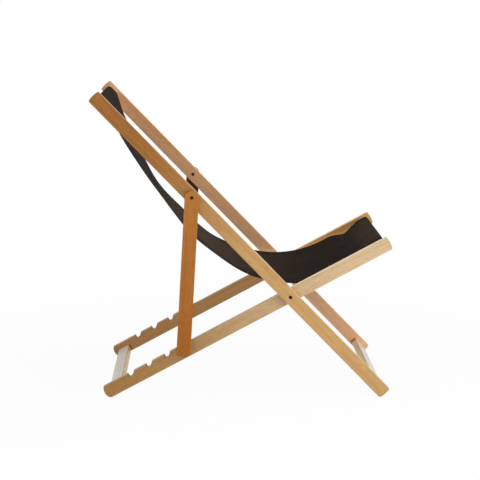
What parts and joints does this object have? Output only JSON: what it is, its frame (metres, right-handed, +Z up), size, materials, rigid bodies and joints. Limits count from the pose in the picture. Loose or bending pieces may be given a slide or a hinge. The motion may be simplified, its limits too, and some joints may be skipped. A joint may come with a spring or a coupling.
{
  "type": "deck chair",
  "caption": "Folding wooden deck chair: crossed back and seat frames, a prop frame that sets the recline on notched rails, and a dark canvas sling hung between two bars.",
  "frame": {"origin": "on the floor, below the middle of the chair's length and width, with the chair open in its most upright notch", "axes": "+X the way a sitter faces, +Y to the sitter's left, +Z up"},
  "size_m": [0.891, 0.602, 0.918],
  "materials": {
    "rail_wood": "oiled hardwood, satin",
    "prop_wood": "oiled hardwood, satin, a warmer board",
    "bar_wood": "pale planed hardwood",
    "canvas": "heavy woven canvas, matt",
    "black_steel": "black oxide, semi-matt",
    "zinc_washer": "zinc plated"
  },
  "bodies": {
    "back_frame": {"back_rail_right": "rail_wood", "back_rail_left": "rail_wood", "head_bar": "bar_wood", "foot_bar": "bar_wood", "sling": "canvas", "pivot_bolt_right": "black_steel", "pivot_bolt_left": "black_steel", "pivot_nut_right": "black_steel", "pivot_nut_left": "black_steel", "pivot_washer_right": "zinc_washer", "pivot_washer_left": "zinc_washer", "prop_bolt_right": "black_steel", "prop_bolt_left": "black_steel", "prop_nut_right": "black_steel", "prop_nut_left": "black_steel", "prop_washer_right": "zinc_washer", "prop_washer_left": "zinc_washer"},
    "seat_frame": {"seat_rail_right": "rail_wood", "seat_rail_left": "rail_wood", "front_bar": "bar_wood", "rear_bar": "bar_wood"},
    "prop_frame": {"prop_leg_right": "prop_wood", "prop_leg_left": "prop_wood", "prop_bar": "prop_wood"}
  },
  "joints": [
    {"name": "frame_fold", "type": "hinge", "parent": "back_frame", "child": "seat_frame", "pos_m": [0.14037, 0, 0.30808], "axis": [0, 1, 0], "range_deg": [0, 74.17], "deforming": ["sling"]},
    {"name": "prop_swing", "type": "hinge", "parent": "back_frame", "child": "prop_frame", "pos_m": [-0.15048, 0, 0.61108], "axis": [0, 1, 0], "range_deg": [0, 132.73]}
  ],
  "couplings": [
    {"joint": "prop_swing", "follows": "frame_fold", "ratio": 1.7894}
  ]
}
